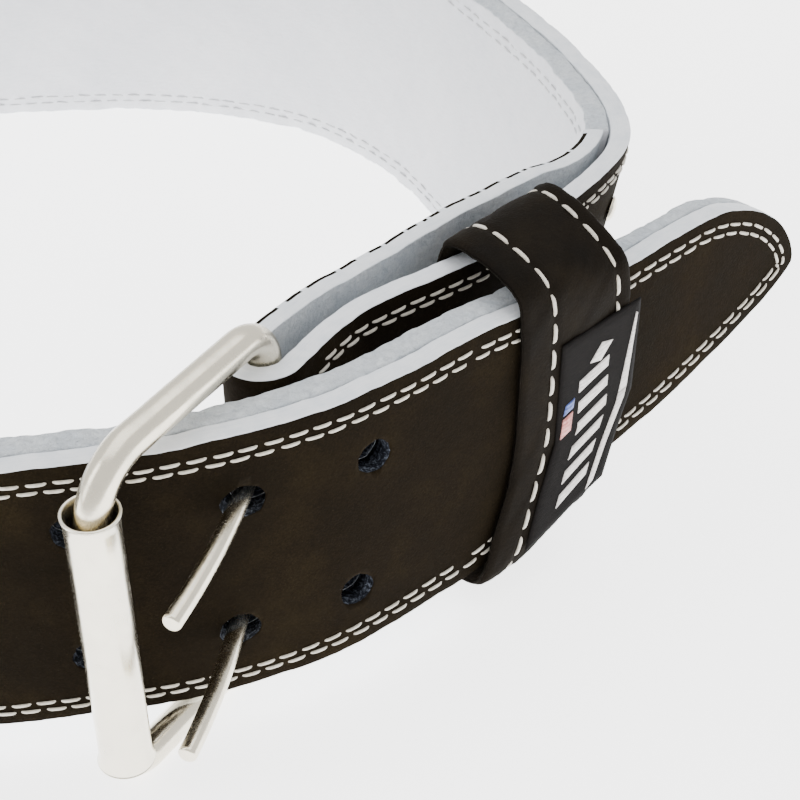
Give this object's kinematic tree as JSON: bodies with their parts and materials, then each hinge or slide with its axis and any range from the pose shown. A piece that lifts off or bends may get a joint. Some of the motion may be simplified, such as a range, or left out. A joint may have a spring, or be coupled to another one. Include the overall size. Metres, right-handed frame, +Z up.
{
  "type": "weightlifting belt",
  "caption": "Thick two-ply leather lifting belt standing on its edge, fastened by a double-prong roller buckle, with the tail held by a leather keeper.",
  "frame": {"origin": "centre of the bounding box, on the surface the belt stands on", "axes": "+Z up, across the strap's width; -Y towards the buckle; +X towards the free end of the tail"},
  "size_m": [0.4078, 0.4032, 0.1141],
  "materials": {
    "black_nubuck": "matt nubuck",
    "pale_suede": "fuzzy suede",
    "keeper_leather": "matt nubuck",
    "label_weave": "woven",
    "nickel_wire": "polished nickel plate",
    "nickel_tube": "polished nickel plate"
  },
  "bodies": {
    "belt": {"outer_strap": "black_nubuck", "inner_lining": "pale_suede", "keeper_loop": "keeper_leather", "label_patch": "label_weave", "buckle_frame": "nickel_wire", "prong_upper": "nickel_wire", "prong_lower": "nickel_wire", "rivet_upper": "nickel_wire", "rivet_lower": "nickel_wire"},
    "roller": {"roller": "nickel_tube"}
  },
  "joints": [
    {"name": "roller_spin", "type": "hinge", "parent": "belt", "child": "roller", "pos_m": [0.00144, -0.18103, 0.0545], "axis": [0, 0, 1], "continuous": true}
  ]
}
